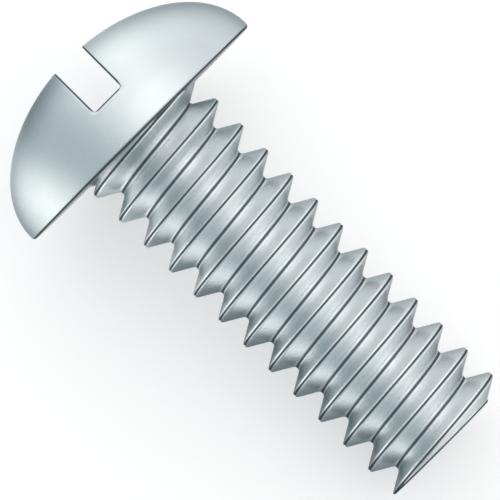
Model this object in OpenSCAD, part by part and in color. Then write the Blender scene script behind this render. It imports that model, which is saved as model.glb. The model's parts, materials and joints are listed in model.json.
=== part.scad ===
// Slotted round head machine screw with a coarse Unified thread up to the head.
// It is one piece of steel: headed, slotted and thread-rolled, then cut off square.
// The screw is drawn about its own axis, with the bearing face of the head at z = 0,
// the dome above it and the thread below it, and is then laid down as it comes to rest.

/* [Thread] */
// Major diameter, over the crests
thread_d = 4.65; // [3:0.01:8]
// Distance from one crest to the next, 24 threads to the inch
pitch = 1.0583; // [0.6:0.0001:1.6]
// Length from the bearing face to the cut end
shank_length = 13.05; // [8:0.05:40]
// Angle round the axis at which a crest meets the bearing face, 0 being the upper side
thread_start = 30; // [0:5:355]

/* [Head] */
// Diameter of the head
head_d = 9.12; // [7:0.01:16]
// Height of the dome above the bearing face
head_h = 3.14; // [2.4:0.01:6]
// Radius on the lower corner of the rim
rim_r = 0.12; // [0.05:0.01:0.3]
// Radius of the fillet between the bearing face and the shank
neck_r = 0.15; // [0.05:0.01:0.4]

/* [Slot] */
// Width of the driving slot
slot_w = 1.12; // [0.6:0.01:2]
// Depth of the slot below the top of the dome
slot_depth = 1.75; // [1:0.01:2.2]

/* [Hidden] */

// Unified thread form: the sharp 60 degree triangle has its crest cut flat by an eighth of
// the pitch, and its root rounded by a sixth of the triangle's height.
flank_angle = 30;
sharp_height = pitch / 2 / tan(flank_angle);
crest_w = pitch / 8;
root_round = sharp_height / 6;
thread_depth = sharp_height * 17 / 24;

crest_r = thread_d / 2;
root_r = crest_r - thread_depth;
head_r = head_d / 2;

// The neck fillet meets the bearing face just outside the crests, so that a washer seats.
neck_clearance = 0.03;
neck_top_r = crest_r + neck_clearance;

turn_steps = 40; // steps in one turn of the thread
root_steps = 4; // steps across the rounded root
dome_steps = 36; // steps from the rim to the top of the dome
corner_steps = 6; // steps round the small corners
overlap = 0.3; // how far pieces of the one solid run into each other

// Points on an arc about a centre, from one angle to another.
function arc(centre, rx, ry, from, to, steps) =
    [for (i = [0:steps]) let (t = from + (to - from) * i / steps)
        centre + [rx * cos(t), ry * sin(t)]];

// Profile of one pitch, from one crest to the next, as [distance along the axis, radius].
// The root arc is tangent to both flanks.
thread_profile = concat(
    [[-crest_w / 2, crest_r], [crest_w / 2, crest_r]],
    arc([pitch / 2, root_r + root_round], root_round, root_round,
        -180 + flank_angle, -flank_angle, root_steps)
);

// Radius of the thread at a distance below the bearing face and an angle round the axis.
function thread_radius(below, angle) =
    let (turns = below / pitch - (thread_start - angle) / 360)
    let (from_crest = abs(turns - round(turns)) * pitch)
    let (drop = (from_crest - crest_w / 2) / tan(flank_angle))
    crest_r - min(thread_depth, max(0, drop));

// Crest line of the right-hand helix, stepped round the axis. The sweep starts above the
// bearing face and ends past the cut end, and is trimmed square at both.
module helical_thread() {
    columns = len(thread_profile);
    lead_in = 1 + ceil((overlap + crest_w) / pitch);
    whole = lead_in + ceil((shank_length + crest_w) / pitch);
    last = whole * turn_steps;

    function place(i, j) =
        let (angle = thread_start - 360 * i / turn_steps)
        let (below = (i / turn_steps - lead_in) * pitch + thread_profile[j][0])
        [thread_profile[j][1] * cos(angle), thread_profile[j][1] * sin(angle), -below];
    // A full row has every column; the rows of the last turn have the first column only.
    function index(i, j) =
        j == columns ? index(i + turn_steps, 0)
        : i <= last ? i * columns + j
        : (last + 1) * columns + i - last - 1;

    top = (last + 1) * columns + turn_steps;
    points = concat(
        [for (i = [0:last], j = [0:columns - 1]) place(i, j)],
        [for (i = [last + 1:last + turn_steps]) place(i, 0)],
        [[0, 0, (lead_in - 0.5) * pitch], [0, 0, -(whole - lead_in + 0.5) * pitch]]
    );
    sides = [for (i = [0:last - 1], j = [0:columns - 1], half = [0, 1]) half == 0
        ? [index(i, j), index(i, j + 1), index(i + 1, j + 1)]
        : [index(i, j), index(i + 1, j + 1), index(i + 1, j)]];
    first_cap = concat(
        [for (i = [0:turn_steps - 1]) [top, index(i, 0), index(i + 1, 0)]],
        [for (j = [0:columns - 1]) [top, index(0, j + 1), index(0, j)]]
    );
    last_cap = concat(
        [for (i = [last:last + turn_steps - 1]) [top + 1, index(i + 1, 0), index(i, 0)]],
        [for (j = [0:columns - 1]) [top + 1, index(last, j), index(last, j + 1)]]
    );
    intersection() {
        polyhedron(points = points, faces = concat(sides, first_cap, last_cap));
        translate([0, 0, -shank_length])
            cylinder(r = crest_r + overlap, h = shank_length + overlap, $fn = 72);
    }
}

// The headed blank: a semi-elliptical dome with a small rounded rim, the bearing face, and
// the neck, where the fillet runs on as a cone of the flank's own angle down to the core.
module headed_blank() {
    core_r = root_r - neck_clearance;
    fillet = arc([neck_top_r, -neck_r], neck_r, neck_r, 90, 90 + flank_angle, corner_steps);
    fillet_end = fillet[corner_steps];
    core_z = fillet_end[1] - (fillet_end[0] - core_r) * tan(flank_angle);
    rotate_extrude($fn = 144)
        polygon(concat(
            arc([0, rim_r], head_r, head_h - rim_r, 90, 0, dome_steps),
            arc([head_r - rim_r, rim_r], rim_r, rim_r, 0, -90, corner_steps),
            fillet,
            [[core_r, core_z], [0, core_z]]
        ));
}

// Saw cut right across the dome.
module driving_slot() {
    translate([-head_d, -slot_w / 2, head_h - slot_depth])
        cube([2 * head_d, slot_w, slot_depth + overlap]);
}

module upright_screw() {
    union() {
        difference() {
            headed_blank();
            driving_slot();
        }
        helical_thread();
    }
}

// The screw lies on the rim of its head and on the lowest point of its thread. That is
// the trailing edge of the last whole crest, or the corner of the cut end where it is lower.
resting_side = 180;
crest_offset = (thread_start - resting_side) / 360 * pitch + crest_w / 2;
last_crest = floor((shank_length - crest_offset) / pitch) * pitch + crest_offset;
end_corner_r = thread_radius(shank_length, resting_side);

// Angle between the axis and the floor when the thread rests at a distance and a radius.
function lean(below, radius) =
    let (across = head_r - rim_r - radius, along = below + rim_r)
    acos(-rim_r / norm([across, along])) - atan2(along, across);

lean_angle = min(lean(last_crest, crest_r), lean(shank_length, end_corner_r));
floor_to_axis = (head_r - rim_r) * cos(lean_angle) - rim_r * sin(lean_angle) + rim_r;

// The origin is on the floor, midway along the lying screw. The dome reaches furthest at
// the edges of the slot.
dome_share = sqrt(1 - pow(slot_w / head_d, 2));
dome_reach = rim_r * cos(lean_angle)
    + dome_share * norm([(head_h - rim_r) * cos(lean_angle), head_r * sin(lean_angle)]);
end_reach = shank_length * cos(lean_angle) + sin(lean_angle)
    * max([for (a = [-90:5:90]) thread_radius(shank_length, a) * cos(a)]);

module machine_screw() {
    color([0.80, 0.83, 0.85])
        translate([(dome_reach - end_reach) / 2, 0, floor_to_axis])
            rotate([0, lean_angle - 90, 0])
                upright_screw();
}

machine_screw();
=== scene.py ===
"""Slotted round head machine screw in zinc-plated steel, lying on a pale studio floor.

The screw is cold-headed, sawn across, thread-rolled and sheared to length, and each of
these leaves its own surface under the one bright plate. Lengths are in millimetres in the
screw's own coordinates: its axis is Z, the bearing face is at 0, the dome is above it and
the thread below it, and the slot runs along X.
"""

import json
import logging
import math
from dataclasses import dataclass, field
from enum import Enum

import bmesh
import bpy
import numpy as np
from mathutils import Matrix, Vector

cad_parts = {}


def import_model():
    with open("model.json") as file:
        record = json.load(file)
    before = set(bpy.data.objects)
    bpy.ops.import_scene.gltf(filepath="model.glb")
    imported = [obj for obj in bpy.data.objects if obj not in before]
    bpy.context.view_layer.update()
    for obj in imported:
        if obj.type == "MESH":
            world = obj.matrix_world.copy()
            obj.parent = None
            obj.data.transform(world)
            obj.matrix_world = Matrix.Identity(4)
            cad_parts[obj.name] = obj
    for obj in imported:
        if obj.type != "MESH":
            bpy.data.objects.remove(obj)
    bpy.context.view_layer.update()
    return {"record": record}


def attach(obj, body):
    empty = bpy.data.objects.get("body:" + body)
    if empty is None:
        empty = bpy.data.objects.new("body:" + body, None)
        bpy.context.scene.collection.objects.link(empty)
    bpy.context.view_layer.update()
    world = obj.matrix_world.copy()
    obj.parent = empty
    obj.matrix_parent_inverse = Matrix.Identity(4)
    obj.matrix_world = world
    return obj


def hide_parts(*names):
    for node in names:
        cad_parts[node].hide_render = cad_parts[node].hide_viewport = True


log = logging.getLogger("machine_screw")

CAD_NODE = "machine_screw"
BODY = "root"
MM = 0.001  # metres in a millimetre
NOISE_LOW, NOISE_HIGH = 0.3, 0.7  # most of a noise texture lies between these


class Surface(Enum):
    """How a stretch of the screw was made, or where it holds lines of painted shade, with the
    number of its material slot.
    """

    HEADED = 0
    SAWN = 1
    ROLLED = 2
    SHEARED = 3
    # dark lines of painted shade along roots, crest seams and rounded edges
    DULL = 4


def linear(hex_colour: str) -> tuple[float, float, float, float]:
    """Turn an sRGB hex colour into linear light.

    Args:
        hex_colour: Colour such as "#d8dde1".

    Returns:
        Red, green, blue and alpha, from 0 to 1.
    """
    def channel(at: int) -> float:
        """Give one channel, read at a place in the text."""
        level = int(hex_colour[at:at + 2], 16) / 255
        return level / 12.92 if level <= 0.04045 else ((level + 0.055) / 1.055) ** 2.4

    return channel(1), channel(3), channel(5), 1.0


def add_node(
    tree: bpy.types.NodeTree,
    kind: str,
    settings: dict[str, object] | None = None,
    inputs: dict[str | int, object] | None = None,
) -> bpy.types.Node:
    """Add a shader node with its settings, values and links.

    Args:
        tree: Node tree to add to.
        kind: Blender's type of node.
        settings: Properties of the node itself.
        inputs: A value, or a socket of another node to link, for each named input.

    Returns:
        The new node.
    """
    node = tree.nodes.new(kind)
    for name, value in (settings or {}).items():
        setattr(node, name, value)
    for name, value in (inputs or {}).items():
        if isinstance(value, bpy.types.NodeSocket):
            tree.links.new(value, node.inputs[name])
        else:
            node.inputs[name].default_value = value
    return node


@dataclass
class ScrewPlace:
    """Where the screw lies: the centre of its bearing face and the way its tip points."""

    bearing: Vector
    tip: Vector

    @classmethod
    def from_record(cls, record: dict) -> "ScrewPlace":
        """Read the place from the bearing face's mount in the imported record."""
        mount = next(m for m in record["mounts"] if m["name"] == "bearing_face")
        return cls(Vector(mount["pos_m"]), Vector(mount["axis"]).normalized())

    @property
    def across(self) -> Vector:
        """Give the level direction across the screw."""
        return Vector((0, 1, 0))

    @property
    def upper_side(self) -> Vector:
        """Give the direction out of the screw's upper side, square to its axis."""
        return self.tip.cross(self.across).normalized()

    def matrix(self) -> Matrix:
        """Give the matrix from the screw's own millimetres to the row's metres."""
        turn = Matrix((self.upper_side, self.across, -self.tip)).transposed().to_4x4()
        return Matrix.Translation(self.bearing) @ turn @ Matrix.Scale(MM, 4)


@dataclass
class Skin:
    """A mesh as it is made: its points, its faces and how each face was made."""

    points: list[tuple[float, float, float]] = field(default_factory=list)
    faces: list[tuple[int, ...]] = field(default_factory=list)
    surfaces: list[Surface] = field(default_factory=list)

    def add(self, spot: Vector) -> int:
        """Add a point and give its number."""
        self.points.append(tuple(spot))
        return len(self.points) - 1

    def add_round(self, radius: float, angle: float, z: float) -> int:
        """Add a point at a distance and an angle about the axis, and give its number."""
        return self.add(Vector((radius * math.cos(angle), radius * math.sin(angle), z)))

    def ring(self, angles: list[float], radii: list[float], z: float) -> list[int]:
        """Add a ring of points about the axis and give their numbers."""
        return [self.add_round(r, a, z) for a, r in zip(angles, radii)]

    def face(self, corners: list[int], surface: Surface) -> None:
        """Add a face, unless it has shrunk to a line or a point.

        Args:
            corners: Numbers of the face's points in order, where some may repeat.
            surface: How the face was made.
        """
        kept = list(dict.fromkeys(corners))
        if len(kept) > 2:
            self.faces.append(tuple(kept))
            self.surfaces.append(surface)

    def strip(self, one: list[int], other: list[int], surface: Surface) -> None:
        """Join two lines of points with faces."""
        for a, b, c, d in zip(one, one[1:], other[1:], other):
            self.face([a, b, c, d], surface)

    def band(self, one: list[int], other: list[int], surface: Surface) -> None:
        """Join two rings of points with faces, all the way round."""
        self.strip([*one, one[0]], [*other, other[0]], surface)


@dataclass
class RoundHead:
    """The headed dome with its small rounded rim, and the slot sawn right across it.

    The dome is a grid of rows, each a level line of points from rim to rim beside the slot,
    and columns across them. Each wall of the slot has a rounded lip above it and a small
    fillet below it, and both die out in the corners of the slot's two mouths.
    """

    # The radius, the height and the slot's depth are a hair under the solid's, so that the
    # skin stays inside the solid's box.
    radius: float = 4.559
    height: float = 3.139
    rim_round: float = 0.12
    slot_width: float = 1.12
    slot_depth: float = 1.749
    lip_round: float = 0.05  # where the plate softens the saw's edge
    mouth_round: float = 0.1  # where the saw broke out of the dome
    saw_corner: float = 0.06  # radius left by the corners of the saw's teeth
    round_share: float = 0.35  # the most of a low wall that its lip or its fillet may take
    side_rows: int = 44  # rows of the dome on each side of the slot
    slot_rows: int = 8  # rows across the slot
    mouth_steps: int = 14  # steps along the dome from the rim to the slot's floor
    slot_steps: int = 64  # steps along the slot's floor
    round_steps: int = 4  # steps round each lip and fillet
    rim_steps: int = 6
    shaded_rim_steps: int = 4  # the lowest of these, painted dark as shade where the rim turns under towards the floor

    @property
    def slot_floor(self) -> float:
        """Give the height of the slot's floor above the bearing face."""
        return self.height - self.slot_depth

    @property
    def wall_turn(self) -> float:
        """Give the angle from the X axis of the rows along the slot's walls."""
        return math.asin(self.slot_width / 2 / self.radius)

    @property
    def walls(self) -> tuple[int, int]:
        """Give the rows of the slot's two walls."""
        return self.side_rows, self.side_rows + self.slot_rows

    @property
    def mouths(self) -> tuple[int, int]:
        """Give the columns of the slot's two mouths."""
        return self.mouth_steps, self.mouth_steps + self.slot_steps

    def row_turns(self) -> list[float]:
        """Spread the rows over the dome, with a row at each wall of the slot.

        Returns:
            Each row's angle from the X axis.
        """
        side =np.linspace(-math.pi / 2, -self.wall_turn, self.side_rows + 1)
        middle = np.linspace(-self.wall_turn, self.wall_turn, self.slot_rows + 1)
        return [*side[:-1], *middle, *(-side[::-1][1:])]

    def ring_angles(self) -> list[float]:
        """Give the angles of the rim's points round the axis, which the shank shares."""
        turns = self.row_turns()
        return [*turns, *(math.pi - t for t in turns[-2:0:-1])]

    def column_angles(self, turn: float) -> list[float]:
        """Spread the columns along one row, with a column at each mouth of the slot.

        Args:
            turn: The row's angle from the X axis.

        Returns:
            Each column's angle from the dome's top, from rim to rim.
        """
        rise =(self.height - self.rim_round) * math.cos(min(abs(turn), self.wall_turn))
        mouth = math.acos((self.slot_floor - self.rim_round) / rise)
        side = np.linspace(-math.pi / 2, -mouth, self.mouth_steps + 1)
        middle = np.linspace(-mouth, mouth, self.slot_steps + 1)
        return [*side[:-1], *middle, *(-side[::-1][1:])]

    def on_dome(self, y: float, angle: float) -> Vector:
        """Find a place on the dome.

        Args:
            y: Distance across from the slot's middle.
            angle: Angle from the dome's top, along the slot.

        Returns:
            The point of the dome there.
        """
        share =math.sqrt(max(1 - (y / self.radius) ** 2, 0))
        return Vector((self.radius * share * math.sin(angle), y,
                       self.rim_round + (self.height - self.rim_round) * share * math.cos(angle)))

    def outward(self, angle: float) -> Vector:
        """Give the dome's outward direction in the plane along the slot."""
        return Vector((math.sin(angle) / self.radius, 0,
                       math.cos(angle) / (self.height - self.rim_round))).normalized()

    def build(self, skin: Skin) -> list[int]:
        """Add the dome, the slot and the rim.

        Args:
            skin: Mesh to add to.

        Returns:
            The ring of points where the rim meets the bearing face.
        """
        dome = self.build_dome(skin)
        floor = self.build_mouths(skin, dome)
        self.build_walls(skin, dome, floor)
        return self.build_rim(skin, dome)

    def build_dome(self, skin: Skin) -> list[list[int]]:
        """Add the dome outside the slot.

        Args:
            skin: Mesh to add to.

        Returns:
            The dome's points by row and column, without those that the saw took away.
        """
        turns = self.row_turns()
        low, high = self.walls
        first, last = self.mouths
        dome: list[list[int]] = []
        for row, turn in enumerate(turns):
            angles = self.column_angles(turn)
            y = self.radius * math.sin(turn)
            if row in (0, len(turns) - 1):
                dome.append([skin.add(self.on_dome(y, 0))] * len(angles))
                continue
            line = []
            for column, angle in enumerate(angles):
                if low < row < high and first <= column <= last:
                    line.append(-1)
                elif row in (low, high) and first < column < last:
                    lip, _ = self.corner_rounds(angle)
                    line.append(skin.add(self.on_dome(y + math.copysign(lip, y), angle)))
                else:
                    line.append(skin.add(self.on_dome(y, angle)))
            dome.append(line)
        for row, (one, other) in enumerate(zip(dome, dome[1:])):
            if not low <= row < high:
                skin.strip(one, other, Surface.HEADED)
        return dome

    def corner_rounds(self, angle: float) -> tuple[float, float]:
        """Give the radii of the lip above a wall and the fillet below it, at one column."""
        tall = self.on_dome(self.slot_width / 2, angle).z - self.slot_floor
        return tuple(min(r, tall * self.round_share) for r in (self.lip_round, self.saw_corner))

    def build_mouths(self, skin: Skin, dome: list[list[int]]) -> list[list[int]]:
        """Add the slot's floor, its rounded mouths and the dome below them.

        Args:
            skin: Mesh to add to.
            dome: The dome's points by row and column.

        Returns:
            The floor's points by row and column, from mouth to mouth, for the rows
            between the walls.
        """
        turns = self.row_turns()
        low, high = self.walls
        first, last = self.mouths
        floor: list[list[int]] = []
        lips: dict[int, list[list[int]]] = {first: [], last: []}
        for row in range(low + 1, high):
            y = self.radius * math.sin(turns[row])
            angles = self.column_angles(turns[row])
            for column in (first, last):
                lips[column].append(self.mouth_lip(skin, y, angles[column]))
                dome[row][column] = lips[column][-1][-1]
            inner = [skin.add(Vector((self.on_dome(y, a).x, y, self.slot_floor)))
                     for a in angles[first + 1:last]]
            floor.append([lips[first][-1][0], *inner, lips[last][-1][0]])
        for one, other in zip(floor, floor[1:]):
            skin.strip(one, other, Surface.SAWN)
        # the rounded mouths are painted dark, as a line of shade along them
        for column, lines in lips.items():
            corners = [[dome[row][column]] * (self.round_steps + 1) for row in (low, high)]
            lines = [corners[0], *lines, corners[1]]
            for one, other in zip(lines, lines[1:]):
                skin.strip(one, other, Surface.DULL)
        for row in range(low, high):
            one, other = dome[row], dome[row + 1]
            skin.strip(one[:first + 1], other[:first + 1], Surface.HEADED)
            skin.strip(one[last:], other[last:], Surface.HEADED)
        return floor

    def mouth_lip(self, skin: Skin, y: float, angle: float) -> list[int]:
        """Add the rounded edge of a mouth at one row, tangent to the floor and the dome.

        Args:
            skin: Mesh to add to.
            y: Distance across from the slot's middle.
            angle: Angle from the dome's top at which the floor would meet the dome.

        Returns:
            An arc of points, from the floor out to the dome.
        """
        out = self.outward(angle)
        turn = math.acos(out.z)
        half_way = (out + Vector((0, 0, 1))).normalized()
        centre = self.on_dome(y, angle) - half_way * self.mouth_round / math.cos(turn / 2)
        line = []
        for step in range(self.round_steps + 1):
            lean = turn * step / self.round_steps
            way = Vector((math.copysign(math.sin(lean), angle), 0, math.cos(lean)))
            line.append(skin.add(centre + way * self.mouth_round))
        return line

    def build_walls(self, skin: Skin, dome: list[list[int]], floor: list[list[int]]) -> None:
        """Add the slot's two walls, each with its lip and its fillet.

        Args:
            skin: Mesh to add to.
            dome: The dome's points by row and column.
            floor: The floor's points by row and column, from mouth to mouth.
        """
        first, last = self.mouths
        angles = self.column_angles(self.wall_turn)
        for row, side, beside in zip(self.walls, (-1, 1), (floor[0], floor[-1])):
            top = dome[row][first:last + 1]
            lines = [[i] for i in [top[0]] * (2 * self.round_steps + 1)]
            for angle in angles[first + 1:last]:
                for line, spot in zip(lines, self.wall_line(side, angle)):
                    line.append(skin.add(spot))
            lines = [top, *([*line, top[-1]] for line in lines), beside]
            for number, (one, other) in enumerate(zip(lines, lines[1:])):
                # the lips are painted dark, as a line of shade along the slot's edges
                on_lip = number < self.round_steps
                skin.strip(one, other, Surface.DULL if on_lip else Surface.SAWN)

    def wall_line(self, side: int, angle: float) -> list[Vector]:
        """Find the places down one wall at one column, below the top of its lip.

        Args:
            side: -1 for the wall at negative Y, 1 for the other.
            angle: The column's angle from the dome's top.

        Returns:
            The places, from the lip down to where the fillet meets the floor.
        """
        half =self.slot_width / 2
        lip, fillet = self.corner_rounds(angle)
        out = self.outward(angle)
        spots = []
        for step in range(1, self.round_steps + 1):
            turn = math.pi / 2 * step / self.round_steps
            edge = self.on_dome(side * (half + lip * (1 - math.sin(turn))), angle)
            spots.append(edge - out * lip * (1 - math.cos(turn)))
        x = self.on_dome(half, angle).x
        for step in range(self.round_steps + 1):
            turn = math.pi / 2 * step / self.round_steps
            spots.append(Vector((x, side * (half - fillet * (1 - math.cos(turn))),
                                 self.slot_floor + fillet * (1 - math.sin(turn)))))
        return spots

    def build_rim(self, skin: Skin, dome: list[list[int]]) -> list[int]:
        """Add the rounded rim.

        Args:
            skin: Mesh to add to.
            dome: The dome's points by row and column.

        Returns:
            The rim's lowest ring of points.
        """
        angles =self.ring_angles()
        rim = [line[-1] for line in dome] + [line[0] for line in dome[-2:0:-1]]
        for step in range(1, self.rim_steps + 1):
            down = math.pi / 2 * step / self.rim_steps
            radius = self.radius - self.rim_round * (1 - math.cos(down))
            ring = skin.ring(angles, [radius] * len(angles), self.rim_round * (1 - math.sin(down)))
            # the lowest steps are painted dark, as shade where the rim turns under
            dull = step > self.rim_steps - self.shaded_rim_steps
            skin.band(rim, ring, Surface.DULL if dull else Surface.HEADED)
            rim = ring
        return rim


@dataclass
class RolledThread:
    """The shank: bearing face, neck fillet, right-hand Unified thread and sheared end."""

    crest_radius: float = 2.325
    pitch: float = 1.0583
    length: float = 13.04  # a hair under the solid's, so that the skin stays inside its box
    start: float = math.radians(30)  # where a crest meets the bearing face
    flank: float = math.radians(30)
    neck_round: float = 0.15
    neck_clearance: float = 0.03
    crest_round: float = 0.085
    seam_half: float = 0.038  # half the width of the seam along a rolled crest, which is painted dark as a line of shade
    seam_depth: float = 0.03
    root_half: float = 0.042  # half the width of the line of painted shade along a root
    end_round: float = 0.05
    end_rings: tuple[float, ...] = (0.8, 0.5, 0.2)  # rings of the cut end, as shares of its radius
    face_rings: int = 4
    neck_rows: int = 12
    neck_crowding: float = 1.5  # over 1 gathers the neck's rows at its fillet
    neck_tries: int = 400  # places tried, to find where the thread stands out of the neck
    spare_turns: tuple[int, int] = (2, 3)  # turns past the two ends, which are gathered there
    flank_steps: int = 4
    root_steps: int = 3
    corner_steps: int = 3

    # The Unified form is a sharp triangle with an eighth of the pitch cut flat at the crest,
    # a root rounded to a sixth of the triangle's height, and 17/24 of that height between.
    @property
    def triangle(self) -> float:
        """Give the height of the sharp triangle that the thread form is cut from."""
        return self.pitch / 2 / math.tan(self.flank)

    @property
    def root_round(self) -> float:
        """Give the radius of the rounded root."""
        return self.triangle / 6

    @property
    def root_radius(self) -> float:
        """Give the distance from the axis to the bottom of the root."""
        return self.crest_radius - self.triangle * 17 / 24

    @property
    def neck_depth(self) -> float:
        """Give how far below the bearing face the neck is clear of the thread's root."""
        return (self.crest_radius - self.root_radius) * math.tan(self.flank) + self.neck_round / 4

    def half_form(self) -> list[tuple[float, float]]:
        """Give the thread's form from a crest's middle to the next root's middle.

        Returns:
            Points, each a distance along the axis and a distance from the axis.
        """
        corner = self.crest_round
        turn = math.pi / 2 - self.flank
        flat = self.pitch / 16 - corner * math.tan(turn / 2)
        first = math.asin(max(self.seam_half - flat, 0) / corner)
        points = [(0.0, self.crest_radius - self.seam_depth)]
        for angle in np.linspace(first, turn, self.corner_steps + 1):
            points.append((flat + corner * math.sin(angle),
                           self.crest_radius - corner * (1 - math.cos(angle))))
        arc = []
        # where the root's line of painted shade begins
        dull = math.asin(self.root_half / self.root_round)
        for angle in [*np.linspace(turn, dull, self.root_steps), 0.0]:
            arc.append((self.pitch / 2 - self.root_round * math.sin(angle),
                        self.root_radius + self.root_round * (1 - math.cos(angle))))
        (top, high), (foot, low) = points[-1], arc[0]
        for step in range(1, self.flank_steps):
            share = step / self.flank_steps
            points.append((top + (foot - top) * share, high + (low - high) * share))
        return points + arc

    def form(self) -> list[tuple[float, float]]:
        """Give the form of a whole pitch, without the next crest's middle."""
        half = self.half_form()
        return half + [(self.pitch - a, r) for a, r in half[-2:0:-1]]

    def radius(self, below: float, angle: float) -> float:
        """Give the thread's radius.

        Args:
            below: Distance below the bearing face.
            angle: Angle round the axis.

        Returns:
            Distance from the axis.
        """
        offset = below - (self.start - angle) / (2 * math.pi) * self.pitch
        from_crest = abs(offset - round(offset / self.pitch) * self.pitch)
        half = self.half_form()
        return float(np.interp(from_crest, [a for a, _ in half], [r for _, r in half]))

    def neck_radius(self, below: float) -> float:
        """Give the radius of the neck, a fillet and then a cone that is tangent to it.

        Args:
            below: Distance below the bearing face.

        Returns:
            Distance from the axis.
        """
        top =self.crest_radius + self.neck_clearance
        turn = self.flank
        drop = self.neck_round * (1 - math.cos(turn))
        if below < drop:
            return top - math.sqrt(self.neck_round ** 2 - (self.neck_round - below) ** 2)
        return top - self.neck_round * math.sin(turn) - (below - drop) / math.tan(self.flank)

    def neck_end(self, angle: float) -> float:
        """Give how far below the bearing face the thread first stands out of the neck."""
        tries = np.linspace(0, self.neck_depth, self.neck_tries)
        return next(b for b in tries if self.radius(b, angle) >= self.neck_radius(b))

    def build(self, skin: Skin, angles: list[float], rim: list[int]) -> None:
        """Add the bearing face, the neck, the thread and the cut end.

        Args:
            skin: Mesh to add to.
            angles: Angles of the columns of points round the axis.
            rim: Ring of points at the outer edge of the bearing face.
        """
        ends = [self.neck_end(angle) for angle in angles]
        ring = self.build_bearing_face(skin, angles, rim)
        ring = self.build_neck(skin, angles, ring, ends)
        ring = self.build_turns(skin, angles, ring, ends)
        self.build_end(skin, angles, ring)

    def build_bearing_face(self, skin: Skin, angles: list[float], rim: list[int]) -> list[int]:
        """Add the flat underside of the head.

        Args:
            skin: Mesh to add to.
            angles: Angles of the columns of points round the axis.
            rim: Ring of points at its outer edge.

        Returns:
            The ring of points at its inner edge.
        """
        outer =math.hypot(*skin.points[rim[0]][:2])
        inner = self.neck_radius(0)
        for step in range(1, self.face_rings + 1):
            radius = outer + (inner - outer) * step / self.face_rings
            ring = skin.ring(angles, [radius] * len(angles), 0)
            skin.band(rim, ring, Surface.HEADED)
            rim = ring
        return rim

    def build_neck(self, skin: Skin, angles: list[float], top: list[int],
                   ends: list[float]) -> list[int]:
        """Add the neck down to where the thread stands out of it.

        Args:
            skin: Mesh to add to.
            angles: Angles of the columns of points round the axis.
            top: Ring of points where the bearing face ends.
            ends: How far below the bearing face each column of the neck ends.

        Returns:
            The neck's lowest ring of points.
        """
        for row in range(1, self.neck_rows + 1):
            ring = []
            for angle, end in zip(angles, ends):
                below = end * (row / self.neck_rows) ** self.neck_crowding
                ring.append(skin.add_round(self.neck_radius(below), angle, -below))
            skin.band(top, ring, Surface.ROLLED)
            top = ring
        return top

    def build_turns(self, skin: Skin, angles: list[float], top: list[int],
                    ends: list[float]) -> list[int]:
        """Add the helical turns, whose lines of points follow the crest.

        Lines that leave the threaded length are gathered at its two ends.

        Args:
            skin: Mesh to add to.
            angles: Angles of the columns of points round the axis.
            top: The neck's lowest ring of points.
            ends: How far below the bearing face each column of the neck ends.

        Returns:
            The ring of points at the edge of the cut end.
        """
        last = self.length - self.end_round
        bottom = skin.ring(angles, [self.radius(last, a) for a in angles], -last)
        form = self.form()
        before, after = self.spare_turns
        turns = math.ceil(self.length / self.pitch) + after
        lines: list[list[int]] = []
        for column, (angle, end) in enumerate(zip(angles, ends)):
            lead = (self.start - angle) / (2 * math.pi) * self.pitch
            line = []
            for turn in range(-before, turns):
                for along, radius in form:
                    below = lead + turn * self.pitch + along
                    if below <= end:
                        line.append(top[column])
                    elif below >= last:
                        line.append(bottom[column])
                    else:
                        line.append(skin.add_round(radius, angle, -below))
            lines.append(line)
        first_line_again = [top[0]] * len(form) + lines[0][:-len(form)]
        root = len(form) // 2
        # the seam along each crest and the middle of each root are painted dark, as lines of shade
        dull = {0, len(form) - 1, root - 1, root}
        for line, other in zip(lines, [*lines[1:], first_line_again]):
            for i in range(len(line) - 1):
                surface = Surface.DULL if i % len(form) in dull else Surface.ROLLED
                skin.face([line[i], other[i], other[i + 1], line[i + 1]], surface)
        return bottom

    def build_end(self, skin: Skin, angles: list[float], ring: list[int]) -> None:
        """Add the end as it was sheared, with its edge barely broken.

        Args:
            skin: Mesh to add to.
            angles: Angles of the columns of points round the axis.
            ring: Ring of points at the edge of the cut end.
        """
        reach =[self.radius(self.length - self.end_round, a) for a in angles]
        # the broken edge is painted dark, as a line of shade round the end
        for step in range(1, self.corner_steps + 1):
            turn = math.pi / 2 * step / self.corner_steps
            inset = self.end_round * (1 - math.cos(turn))
            below = self.length - self.end_round * (1 - math.sin(turn))
            inner = skin.ring(angles, [r - inset for r in reach], -below)
            skin.band(ring, inner, Surface.DULL)
            ring = inner
        for share in self.end_rings:
            inner = skin.ring(angles, [(r - self.end_round) * share for r in reach], -self.length)
            skin.band(ring, inner, Surface.SHEARED)
            ring = inner
        centre = skin.add_round(0, 0, -self.length)
        for i in range(len(ring)):
            skin.face([ring[i], ring[(i + 1) % len(ring)], centre], Surface.SHEARED)


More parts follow.
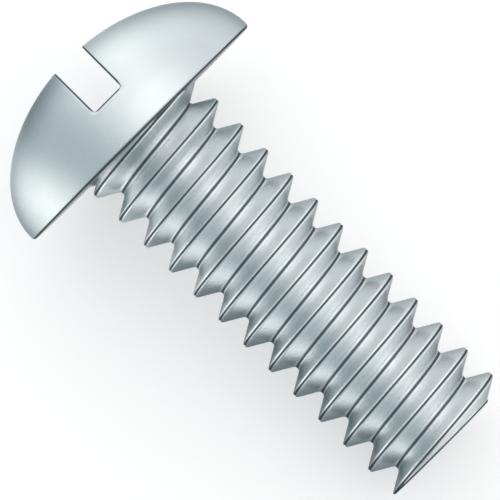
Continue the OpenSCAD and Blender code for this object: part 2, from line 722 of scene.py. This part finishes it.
@dataclass(frozen=True)
class ZincPlate:
    """Bright zinc electroplate on steel, and how the steel under it was left.

    Zinc is a pale blue-grey metal. The plate follows every mark in the steel, and its own
    fine crystals turn reflections into soft gradients.
    """

    name: str
    bright: str = "#dbe0e1"
    cloudy: str = "#d1d9da"
    edge: str = "#a2a9ac"  # where the surface turns away from the eye
    roughness: float = 0.26
    roughness_spread: float = 0.06
    cloud_size: float = 1.6  # mm across one soft cloud in the plate
    crystal_size: float = 0.09  # mm, coarser than real crystals so that they show
    crystal_height: float = 0.0012  # mm

    def material(self, place: ScrewPlace) -> bpy.types.Material:
        """Make the material.

        Args:
            place: Where the screw lies, which its patterns are fixed to.

        Returns:
            The new material.
        """
        made = bpy.data.materials.new(self.name)
        made.use_nodes = True
        tree = made.node_tree
        tree.nodes.clear()
        spot = self.screw_spot(tree, place)
        clouds = add_node(tree, "ShaderNodeTexNoise", {}, {
            "Vector": spot, "Scale": 1 / self.cloud_size, "Detail": 3.0, "Roughness": 0.55})
        colour = add_node(tree, "ShaderNodeMix", {"data_type": "RGBA"}, {
            "Factor": clouds.outputs["Fac"], "A": linear(self.bright), "B": linear(self.cloudy)})
        marks = self.marks(tree, spot)
        level = add_node(tree, "ShaderNodeMapRange", {}, {
            "Value": clouds.outputs["Fac"], "From Min": NOISE_LOW, "From Max": NOISE_HIGH,
            "To Min": self.roughness - self.roughness_spread / 2,
            "To Max": self.roughness + self.roughness_spread / 2})
        shader = add_node(tree, "ShaderNodeBsdfPrincipled", {}, {
            "Base Color": colour.outputs["Result"], "Metallic": 1.0,
            "Specular Tint": linear(self.edge),
            "Roughness": level.outputs["Result"], "Normal": marks})
        add_node(tree, "ShaderNodeOutputMaterial", {}, {"Surface": shader.outputs["BSDF"]})
        return made

    def screw_spot(self, tree: bpy.types.NodeTree, place: ScrewPlace) -> bpy.types.NodeSocket:
        """Add the nodes that find each point's place on the screw.

        Args:
            tree: Node tree to add to.
            place: Where the screw lies.

        Returns:
            The place in the screw's own millimetres.
        """
        move, turn, scale = place.matrix().inverted().decompose()
        here = add_node(tree, "ShaderNodeTexCoord")
        mapped = add_node(tree, "ShaderNodeMapping", {"vector_type": "POINT"}, {
            "Vector": here.outputs["Object"], "Location": move,
            "Rotation": turn.to_euler("XYZ"), "Scale": scale})
        return mapped.outputs["Vector"]

    def stretched(self, tree: bpy.types.NodeTree, spot: bpy.types.NodeSocket,
                  sizes: tuple[float, float, float], detail: float = 2.0) -> bpy.types.NodeSocket:
        """Add a pattern of marks that are longer along some of the screw's axes than others.

        Args:
            tree: Node tree to add to.
            spot: Place on the screw.
            sizes: Lengths of the marks in millimetres along each axis.
            detail: How many finer layers the marks have.

        Returns:
            The pattern's level, from 0 to 1.
        """
        scaled =add_node(tree, "ShaderNodeVectorMath", {"operation": "DIVIDE"}, {0: spot, 1: sizes})
        noise = add_node(tree, "ShaderNodeTexNoise", {}, {
            "Vector": scaled.outputs["Vector"], "Scale": 1.0, "Detail": detail, "Roughness": 0.6})
        return noise.outputs["Fac"]

    def raised(self, tree: bpy.types.NodeTree, height: bpy.types.NodeSocket, millimetres: float,
               under: bpy.types.NodeSocket | None = None) -> bpy.types.NodeSocket:
        """Turn a pattern into a bump of a real height.

        Args:
            tree: Node tree to add to.
            height: The pattern.
            millimetres: Height of the bump where the pattern is 1.
            under: Normal of another bump that this one lies on.

        Returns:
            The normal of both.
        """
        inputs:dict[str | int, object] = {
            "Height": height, "Distance": millimetres * MM, "Strength": 1.0}
        if under is not None:
            inputs["Normal"] = under
        return add_node(tree, "ShaderNodeBump", {}, inputs).outputs["Normal"]

    def marks(self, tree: bpy.types.NodeTree, spot: bpy.types.NodeSocket) -> bpy.types.NodeSocket:
        """Give the surface's normal, here with the plate's crystals alone."""
        crystals = self.stretched(tree, spot, (self.crystal_size,) * 3)
        return self.raised(tree, crystals, self.crystal_height)


@dataclass(frozen=True)
class HeadedPlate(ZincPlate):
    """Cold-headed steel under the plate.

    It is smooth from the die and lightly dinged in the plating barrel, so its reflections
    are broad and ripple a little.
    """

    name: str = "zinc-plated steel, cold-headed"
    dimple_size: float = 0.7  # mm
    dimple_height: float = 0.004  # mm

    def marks(self, tree: bpy.types.NodeTree, spot: bpy.types.NodeSocket) -> bpy.types.NodeSocket:
        """Give the normal with soft dimples under the crystals."""
        dimples = self.stretched(tree, spot, (self.dimple_size,) * 3, detail=1.0)
        return self.raised(tree, dimples, self.dimple_height, super().marks(tree, spot))


@dataclass(frozen=True)
class SawnPlate(ZincPlate):
    """Sawn steel under the plate: fine straight lines along the slot, which dull it."""

    name: str = "zinc-plated steel, slot-sawn"
    roughness: float = 0.34
    line_width: float = 0.05  # mm, coarser than the finest lines of a saw so that they show
    line_length: float = 5.0  # mm
    line_height: float = 0.003  # mm

    def marks(self, tree: bpy.types.NodeTree, spot: bpy.types.NodeSocket) -> bpy.types.NodeSocket:
        """Give the normal with saw lines under the crystals."""
        lines = self.stretched(tree, spot, (self.line_length, self.line_width, self.line_width))
        return self.raised(tree, lines, self.line_height, super().marks(tree, spot))


@dataclass(frozen=True)
class RolledPlate(ZincPlate):
    """Thread-rolled steel under the plate.

    Its plate is painted lighter than the head's, partly for the flanks that the dies burnish and
    partly as painted light that offsets the shade in the thread's grooves. Faint lines follow the
    helix, over a fine pebbled grain.
    """

    name: str = "zinc-plated steel, thread-rolled"
    # painted light: lighter than the head's plate, to offset the shade in the grooves
    bright: str = "#f2f5f6"
    cloudy: str = "#ecf0f1"
    line_width: float = 0.04  # mm, coarser than the dies leave them so that they show
    line_length: float = 2.5  # mm, round the screw
    line_spread: float = 0.9  # mm, along the screw, so that each turn has its own lines
    line_height: float = 0.0016  # mm
    pebble_size: float = 0.075  # mm, coarser than a real grain so that it shows
    pebble_height: float = 0.008  # mm

    def marks(self, tree: bpy.types.NodeTree, spot: bpy.types.NodeSocket) -> bpy.types.NodeSocket:
        """Add the grain, and over it lines of constant radius, which run round each flank.

        Args:
            tree: Node tree to add to.
            spot: Place on the screw.

        Returns:
            The surface's normal.
        """
        split =add_node(tree, "ShaderNodeSeparateXYZ", {}, {"Vector": spot})
        flat = add_node(tree, "ShaderNodeVectorMath", {"operation": "MULTIPLY"}, {
            0: spot, 1: (1.0, 1.0, 0.0)})
        radius = add_node(tree, "ShaderNodeVectorMath", {"operation": "LENGTH"}, {
            0: flat.outputs["Vector"]})
        round_it = add_node(tree, "ShaderNodeCombineXYZ", {}, {
            "X": radius.outputs["Value"], "Y": split.outputs["X"], "Z": split.outputs["Z"]})
        lines = self.stretched(tree, round_it.outputs["Vector"],
                               (self.line_width, self.line_length, self.line_spread))
        pebbles = self.stretched(tree, spot, (self.pebble_size,) * 3, detail=1.0)
        grain = self.raised(tree, pebbles, self.pebble_height, super().marks(tree, spot))
        return self.raised(tree, lines, self.line_height, grain)


@dataclass(frozen=True)
class ShearedPlate(ZincPlate):
    """Sheared steel under the plate: a torn grain, which leaves the cut end matt."""

    name: str = "zinc-plated steel, sheared"
    roughness: float = 0.42
    grain_sizes: tuple[float, float, float] = (0.22, 0.44, 0.22)  # mm, longer along the shear
    grain_height: float = 0.012  # mm

    def marks(self, tree: bpy.types.NodeTree, spot: bpy.types.NodeSocket) -> bpy.types.NodeSocket:
        """Give the normal with torn grain under the crystals."""
        grain = self.stretched(tree, spot, self.grain_sizes, detail=4.0)
        return self.raised(tree, grain, self.grain_height, super().marks(tree, spot))


@dataclass(frozen=True)
class DullAndShadedPlate(ZincPlate):
    """Painted shade: a dark, dull plate that draws each root, crest seam and rounded edge as a dark
    line.

    Its darkness stands in for shade in the roots and along the edges; along the edges it is also in
    part plate burnt grey where the current crowds.
    """

    name: str = "zinc-plated steel, dull plate and painted shade"
    # painted shade: these dark greys draw the lines, far darker than the plate itself
    bright: str = "#646c70"
    cloudy: str = "#545c60"
    roughness: float = 0.45


@dataclass
class MachineScrew:
    """The whole screw, as one closed skin dressed in four finishes and in dark lines of painted
    shade.
    """

    place: ScrewPlace
    head: RoundHead = field(default_factory=RoundHead)
    thread: RolledThread = field(default_factory=RolledThread)
    flatness: int = 60  # how far large faces lead the shading; Blender's even share is 50

    def build(self) -> bpy.types.Object:
        """Make the screw's mesh where the screw lies, and dress it.

        Returns:
            The screw.
        """
        skin =Skin()
        rim = self.head.build(skin)
        self.thread.build(skin, self.head.ring_angles(), rim)
        mesh = self.mesh(skin)
        mesh.transform(self.place.matrix())
        piece = bpy.data.objects.new("plated_screw", mesh)
        bpy.context.collection.objects.link(piece)
        self.dress(piece)
        return piece

    def mesh(self, skin: Skin) -> bpy.types.Mesh:
        """Turn the skin into a mesh whose faces all look outward.

        Args:
            skin: The finished skin.

        Returns:
            The mesh, in the screw's own millimetres.
        """
        shape = bmesh.new()
        points = [shape.verts.new(p) for p in skin.points]
        for numbers, surface in zip(skin.faces, skin.surfaces):
            made = shape.faces.new([points[n] for n in numbers])
            made.material_index = surface.value
            made.smooth = True
        bmesh.ops.delete(shape, geom=[v for v in shape.verts if not v.link_faces], context="VERTS")
        bmesh.ops.recalc_face_normals(shape, faces=shape.faces)
        mesh = bpy.data.meshes.new("plated_screw")
        shape.to_mesh(mesh)
        shape.free()
        return mesh

    def dress(self, piece: bpy.types.Object) -> None:
        """Give each surface its finish, and keep flat faces flat beside rounded edges.

        Args:
            piece: The screw.
        """
        finishes = {
            Surface.HEADED: HeadedPlate(),
            Surface.SAWN: SawnPlate(),
            Surface.ROLLED: RolledPlate(),
            Surface.SHEARED: ShearedPlate(),
            Surface.DULL: DullAndShadedPlate(),
        }
        for surface in Surface:
            piece.data.materials.append(finishes[surface].material(self.place))
        weighted = piece.modifiers.new("flat faces stay flat", "WEIGHTED_NORMAL")
        weighted.weight = self.flatness


@dataclass
class Studio:
    """A pale floor under a soft sky of long panels, with one broad lamp above the screw; the floor
    shows the metal a painted reflection of the panels.
    """

    place: ScrewPlace
    floor_half: float = 0.6
    floor_colour: str = "#e2e0df"
    floor_glow: float = 0.36
    painted_reflection_glow: float = 0.38  # painted reflection: glow that only the metal sees in the floor
    sky_strength: float = 1.38
    tip_sky: float = 0.72  # the same past the tip, where it is darker
    tip_fade: tuple[float, float] = (0.35, 0.9)  # X of a direction where both begin and end to fade
    # Colours of the panels from one side of the screw, -1, to the other, 1: pale, white,
    # grey-green, white and grey.
    panel_stops: tuple[tuple[float, str], ...] = (
        (-0.9, "#d3d7d9"), (-0.75, "#ffffff"), (-0.43, "#a9b3b6"), (-0.34, "#a9b3b6"),
        (0.22, "#fcfdfd"), (0.5, "#e0e3e4"), (0.75, "#d2d5d7"),
    )
    lamp_size: float = 0.6
    lamp_power: float = 0.08
    lamp_place: tuple[float, float, float] = (-0.05, 0.26, 0.45)

    def build_floor(self) -> bpy.types.Object:
        """Make the floor.

        Returns:
            The floor, which isn't part of the screw.
        """
        half = self.floor_half
        mesh = bpy.data.meshes.new("floor")
        mesh.from_pydata([(-half, -half, 0), (half, -half, 0), (half, half, 0), (-half, half, 0)],
                         [], [(0, 1, 2, 3)])
        mesh.materials.append(self.floor_paint())
        floor = bpy.data.objects.new("floor", mesh)
        bpy.context.collection.objects.link(floor)
        return floor

    def floor_paint(self) -> bpy.types.Material:
        """Make the floor white with its shadow to the eye; to the metal it shows a painted
        reflection of the soft panels, with extra glow.

        Returns:
            The new material.
        """
        made = bpy.data.materials.new("pale floor")
        made.use_nodes = True
        tree = made.node_tree
        tree.nodes.clear()
        path = add_node(tree, "ShaderNodeLightPath")
        here = add_node(tree, "ShaderNodeNewGeometry")
        away = add_node(tree, "ShaderNodeVectorMath", {"operation": "SUBTRACT"}, {
            0: here.outputs["Position"], 1: self.place.bearing})
        way = add_node(tree, "ShaderNodeVectorMath", {"operation": "NORMALIZE"}, {
            0: away.outputs["Vector"]})
        # painted reflection: to glossy rays alone, the floor takes the panels' colours
        painted_reflection = add_node(tree, "ShaderNodeMix", {"data_type": "RGBA"}, {
            "Factor": path.outputs["Is Glossy Ray"], "A": linear("#ffffff"),
            "B": self.panels(tree, way.outputs["Vector"])})
        paint = add_node(tree, "ShaderNodeMix", {"data_type": "RGBA", "blend_type": "MULTIPLY"}, {
            "Factor": 1.0, "A": linear(self.floor_colour), "B": painted_reflection.outputs["Result"]})
        matt = add_node(tree, "ShaderNodeBsdfDiffuse", {}, {"Color": paint.outputs["Result"]})
        seen = add_node(tree, "ShaderNodeMath", {"operation": "MAXIMUM"}, {
            0: path.outputs["Is Camera Ray"], 1: path.outputs["Is Glossy Ray"]})
        through = add_node(tree, "ShaderNodeMath", {"operation": "MAXIMUM"}, {
            0: seen.outputs["Value"], 1: path.outputs["Is Transmission Ray"]})
        glow = add_node(tree, "ShaderNodeMath", {"operation": "MULTIPLY"}, {
            0: through.outputs["Value"], 1: self.floor_glow})
        # painted reflection: extra glow for glossy rays alone, fading past the tip
        total = add_node(tree, "ShaderNodeMath", {"operation": "MULTIPLY_ADD"}, {
            0: path.outputs["Is Glossy Ray"],
            1: self.towards_tip(tree, way.outputs["Vector"], self.painted_reflection_glow, 0.0),
            2: glow.outputs["Value"]})
        light = add_node(tree, "ShaderNodeEmission", {}, {
            "Color": painted_reflection.outputs["Result"], "Strength": total.outputs["Value"]})
        both = add_node(tree, "ShaderNodeAddShader", {}, {
            0: matt.outputs["BSDF"], 1: light.outputs["Emission"]})
        add_node(tree, "ShaderNodeOutputMaterial", {}, {"Surface": both.outputs["Shader"]})
        return made

    def build_sky(self) -> None:
        """Make the sky that the metal reflects, a little darker beyond the screw's tip."""
        world = bpy.data.worlds.new("studio sky")
        bpy.context.scene.world = world
        world.use_nodes = True
        tree = world.node_tree
        tree.nodes.clear()
        way = add_node(tree, "ShaderNodeTexCoord").outputs["Generated"]
        strength = self.towards_tip(tree, way, self.sky_strength, self.tip_sky)
        back = add_node(tree, "ShaderNodeBackground", {}, {
            "Color": self.panels(tree, way), "Strength": strength})
        add_node(tree, "ShaderNodeOutputWorld", {}, {"Surface": back.outputs["Background"]})

    def towards_tip(self, tree: bpy.types.NodeTree, way: bpy.types.NodeSocket, most: float,
                    least: float) -> bpy.types.NodeSocket:
        """Add a strength that falls in directions past the screw's tip.

        Args:
            tree: Node tree to add to.
            way: Direction from the screw.
            most: Strength everywhere else.
            least: Strength straight past the tip.

        Returns:
            The strength in that direction.
        """
        begin, end = self.tip_fade
        endwise = add_node(tree, "ShaderNodeSeparateXYZ", {}, {"Vector": way})
        fall = add_node(tree, "ShaderNodeMapRange", {"interpolation_type": "SMOOTHSTEP"}, {
            "Value": endwise.outputs["X"], "From Min": begin, "From Max": end,
            "To Min": most, "To Max": least})
        return fall.outputs["Result"]

    def panels(self, tree: bpy.types.NodeTree, way: bpy.types.NodeSocket) -> bpy.types.NodeSocket:
        """Add the long soft panels of the sky, which the floor repeats as a painted reflection that
        only the metal sees.

        A direction is coloured by where one halfway between it and straight above the screw
        would strike a ball, from -1 at one side to 1 at the other, so that the panels lie
        along a rounded top in straight bands.

        Args:
            tree: Node tree to add to.
            way: Direction from the screw.

        Returns:
            The colour in that direction.
        """
        halfway = add_node(tree, "ShaderNodeVectorMath", {"operation": "ADD"}, {
            0: way, 1: self.place.upper_side})
        even = add_node(tree, "ShaderNodeVectorMath", {"operation": "NORMALIZE"}, {
            0: halfway.outputs["Vector"]})
        across = add_node(tree, "ShaderNodeSeparateXYZ", {}, {"Vector": even.outputs["Vector"]})
        share = add_node(tree, "ShaderNodeMapRange", {}, {
            "Value": across.outputs["Y"], "From Min": -1.0, "From Max": 1.0,
            "To Min": 0.0, "To Max": 1.0})
        ramp = add_node(tree, "ShaderNodeValToRGB", {}, {"Fac": share.outputs["Result"]})
        self.paint_panels(ramp.color_ramp)
        return ramp.outputs["Color"]

    def paint_panels(self, ramp: bpy.types.ColorRamp) -> None:
        """Colour the panels from side to side.

        Args:
            ramp: Colour ramp to fill, as new.
        """
        ramp.interpolation = "EASE"
        while len(ramp.elements) > 1:
            ramp.elements.remove(ramp.elements[-1])
        for number, (side, colour) in enumerate(self.panel_stops):
            at = (side + 1) / 2
            stop = ramp.elements[0] if number == 0 else ramp.elements.new(at)
            stop.position = at
            stop.color = linear(colour)

    def build_lamp(self) -> None:
        """Hang one broad soft lamp over the screw."""
        lamp = bpy.data.lights.new("soft box", "AREA")
        lamp.shape = "DISK"
        lamp.size = self.lamp_size
        lamp.energy = self.lamp_power
        hung = bpy.data.objects.new("soft box", lamp)
        hung.location = self.lamp_place
        hung.rotation_mode = "QUATERNION"
        hung.rotation_quaternion = (-hung.location).to_track_quat("-Z", "Y")
        bpy.context.collection.objects.link(hung)


@dataclass
class CatalogueCamera:
    """A long lens that looks square at the screw's upper side, turned as the photo is."""

    place: ScrewPlace
    frame_pixels: float = 500.0
    pixels_per_mm: float = 33.31
    bearing_pixel: tuple[float, float] = (141.7, 133.4)  # centre of the bearing face
    distance: float = 0.5
    sensor: float = 36.0

    def build(self) -> bpy.types.Object:
        """Make the camera and give it to the scene.

        Returns:
            The camera.
        """
        place = self.place
        right = (place.tip + place.across).normalized()
        up = (place.across - place.tip).normalized()
        middle = self.frame_pixels / 2
        metres = MM / self.pixels_per_mm
        aim = (place.bearing
               + right * (middle - self.bearing_pixel[0]) * metres
               - up * (middle - self.bearing_pixel[1]) * metres)
        data = bpy.data.cameras.new("catalogue camera")
        data.sensor_width = self.sensor
        data.lens = self.sensor * self.distance / (self.frame_pixels * metres)
        data.clip_start = 0.01
        data.clip_end = 5.0
        camera = bpy.data.objects.new("catalogue camera", data)
        camera.matrix_world = Matrix.Translation(aim + place.upper_side * self.distance) @ (
            Matrix((right, up, place.upper_side)).transposed().to_4x4())
        bpy.context.collection.objects.link(camera)
        bpy.context.scene.camera = camera
        return camera


def corners(box: tuple[Vector, Vector]) -> list[list[float]]:
    """Give a box's two corners as plain lists."""
    return [list(corner) for corner in box]


def main() -> None:
    """Build the screw, the floor, the sky, the lamp and the camera, and log the screw's faces."""
    logging.basicConfig(level=logging.INFO, format="%(name)s: %(message)s")
    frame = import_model()
    bpy.context.scene.view_settings.view_transform = "Standard"
    place = ScrewPlace.from_record(frame["record"])
    piece = MachineScrew(place).build()
    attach(piece, BODY)
    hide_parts(CAD_NODE)
    log.info("%s: %d faces", piece.name, len(piece.data.polygons))
    studio = Studio(place)
    studio.build_floor()
    studio.build_sky()
    studio.build_lamp()
    CatalogueCamera(place).build()


if __name__ == "__main__":
    main()
